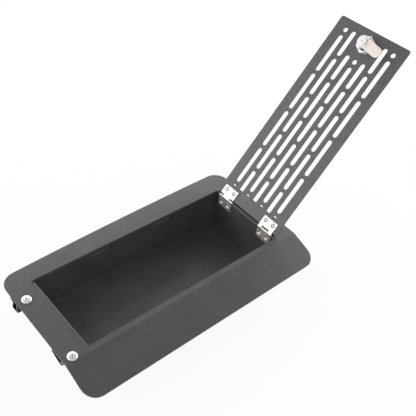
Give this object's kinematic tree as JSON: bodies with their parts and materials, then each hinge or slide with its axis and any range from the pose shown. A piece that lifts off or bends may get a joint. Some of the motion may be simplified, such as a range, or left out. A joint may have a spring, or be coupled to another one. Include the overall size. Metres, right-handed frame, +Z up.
{
  "type": "dashboard lockbox",
  "caption": "Flush-mount steel lockbox for a car dashboard, with a face plate and bent skirt, a slotted hinged lid and a cam lock.",
  "frame": {"origin": "middle of the underside of the box", "axes": "+X from the lock end to the hinge end, +Y away from the bent skirt of the face plate, +Z up out of the box"},
  "size_m": [0.5253, 0.2032, 0.287],
  "materials": {
    "powder_coat": "matt charcoal powder coat",
    "lid_coat": "matt charcoal powder coat",
    "box_coat": "matt dark powder coat",
    "nickel": "bright nickel plate",
    "cam_steel": "warm nickel plate",
    "black_spring": "blackened spring steel"
  },
  "bodies": {
    "box": {"face_plate": "powder_coat", "tray_channel": "box_coat", "end_wall_lock": "box_coat", "end_wall_hinge": "box_coat", "far_hinge_box_leaf": "nickel", "far_hinge_pin": "nickel", "far_hinge_screw_1": "nickel", "far_hinge_screw_2": "nickel", "far_hinge_nut_1": "nickel", "far_hinge_nut_2": "nickel", "near_hinge_box_leaf": "nickel", "near_hinge_pin": "nickel", "near_hinge_screw_1": "nickel", "near_hinge_screw_2": "nickel", "near_hinge_nut_1": "nickel", "near_hinge_nut_2": "nickel", "clamp_screw_far": "nickel", "clamp_screw_near": "nickel", "clamp_clip_far": "black_spring", "clamp_clip_near": "black_spring"},
    "lid": {"lid_panel": "lid_coat", "far_hinge_lid_leaf": "nickel", "near_hinge_lid_leaf": "nickel", "far_hinge_rivet_1": "nickel", "far_hinge_rivet_2": "nickel", "near_hinge_rivet_1": "nickel", "near_hinge_rivet_2": "nickel", "lock_body": "nickel", "lock_washer": "nickel", "lock_nut": "nickel"},
    "cam": {"lock_plug": "nickel", "lock_stop_disc": "nickel", "lock_cam": "cam_steel", "lock_cam_bolt": "nickel"}
  },
  "joints": [
    {"name": "lid_hinge", "type": "hinge", "parent": "box", "child": "lid", "pos_m": [0.14925, 0, 0.059], "axis": [0, 1, 0], "range_deg": [-130.6, 0]},
    {"name": "lock_turn", "type": "hinge", "parent": "lid", "child": "cam", "pos_m": [0.33018, 0, 0.27086], "axis": [0.7593, 0, -0.6508], "range_deg": [-100, 0]}
  ]
}
